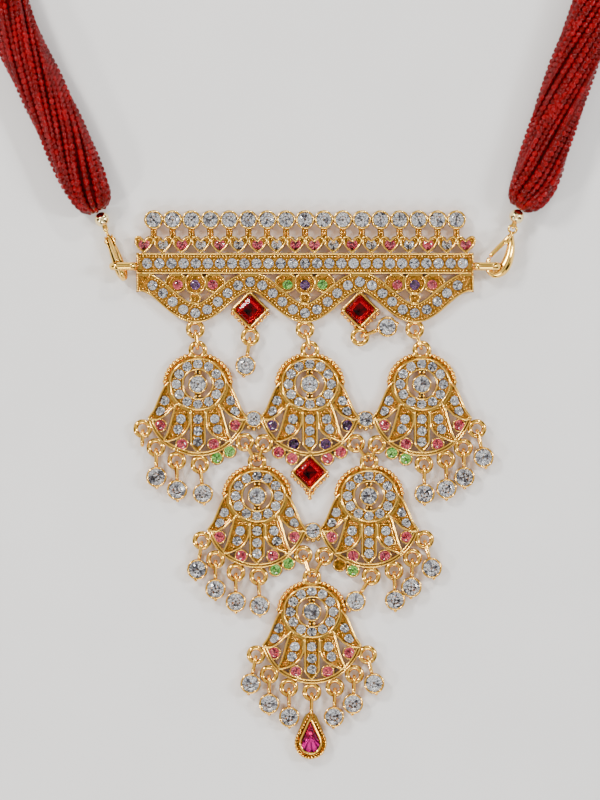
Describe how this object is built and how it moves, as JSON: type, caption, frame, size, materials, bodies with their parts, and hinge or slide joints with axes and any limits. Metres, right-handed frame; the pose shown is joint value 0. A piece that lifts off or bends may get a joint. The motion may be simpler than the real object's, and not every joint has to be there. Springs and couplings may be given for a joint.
{
  "type": "rani haar necklace",
  "caption": "Cast gold-tone necklace with a pierced stone-set plate, three rows of hanging bell pendants with small round drops, two lobster clasps and a thick bundle of red seed bead strings.",
  "frame": {"origin": "centre of the plate's bar at its flat back, on the surface that the necklace lies on", "axes": "+X to the right of the plate seen from the front, +Y towards the strings over the neck, +Z out of the front"},
  "size_m": [0.1865, 0.3308, 0.0108],
  "materials": {
    "gold": "polished cast metal, yellow gold plated",
    "bright_gold": "bright polished gold plated fittings",
    "clear_stone": "foil-backed clear glass",
    "pink_stone": "foil-backed pink glass",
    "green_stone": "foil-backed green glass",
    "violet_stone": "foil-backed dark violet glass",
    "ruby_stone": "foil-backed red glass",
    "magenta_stone": "foil-backed magenta glass",
    "bead_red": "small deep red glass seed beads on thread"
  },
  "bodies": {
    "necklace": {"plate": "gold", "top_stones": "clear_stone", "heart_stones_clear": "clear_stone", "heart_stones_pink": "pink_stone", "bar_stones": "clear_stone", "wave_stones": "clear_stone", "ruby_left": "ruby_stone", "ruby_right": "ruby_stone", "ruby_centre": "ruby_stone", "casting_row_1": "gold", "casting_row_2": "gold", "casting_row_3": "gold", "bell_main_stones": "clear_stone", "pink_stones": "pink_stone", "green_stones": "green_stone", "violet_stones": "violet_stone", "link_1": "gold", "link_2": "gold", "link_3": "gold", "link_4": "gold", "link_5": "gold", "link_6": "gold", "link_7": "gold", "link_8": "gold", "link_9": "gold", "drop_1": "gold", "drop_2": "gold", "drop_3": "gold", "drop_4": "gold", "drop_5": "gold", "drop_6": "gold", "drop_7": "gold", "drop_8": "gold", "drop_9": "gold", "drop_10": "gold", "drop_11": "gold", "drop_12": "gold", "drop_13": "gold", "drop_14": "gold", "drop_15": "gold", "drop_16": "gold", "drop_17": "gold", "drop_18": "gold", "drop_19": "gold", "drop_20": "gold", "drop_21": "gold", "drop_22": "gold", "drop_23": "gold", "drop_stones": "clear_stone", "bail_bare": "gold", "pear_drop": "gold", "pear_stone": "magenta_stone", "clasp_left": "bright_gold", "clasp_right": "bright_gold", "end_bead_left": "bright_gold", "end_bead_right": "bright_gold", "strand_bundle": "bead_red"},
    "lever_left": {"lever_left": "bright_gold"},
    "lever_right": {"lever_right": "bright_gold"}
  },
  "joints": [
    {"name": "left_lever_pivot", "type": "hinge", "parent": "necklace", "child": "lever_left", "pos_m": [-0.04868, 0.0057, 0.00201], "axis": [0.9367, 0.3502, 0], "range_deg": [0, 16], "stiffness_Nm_per_rad": 0.0005, "springref_deg": -20.05},
    {"name": "right_lever_pivot", "type": "hinge", "parent": "necklace", "child": "lever_right", "pos_m": [0.05091, 0.0063, 0.0035], "axis": [0, 0, 1], "range_deg": [0, 16], "stiffness_Nm_per_rad": 0.0005, "springref_deg": -20.05}
  ]
}
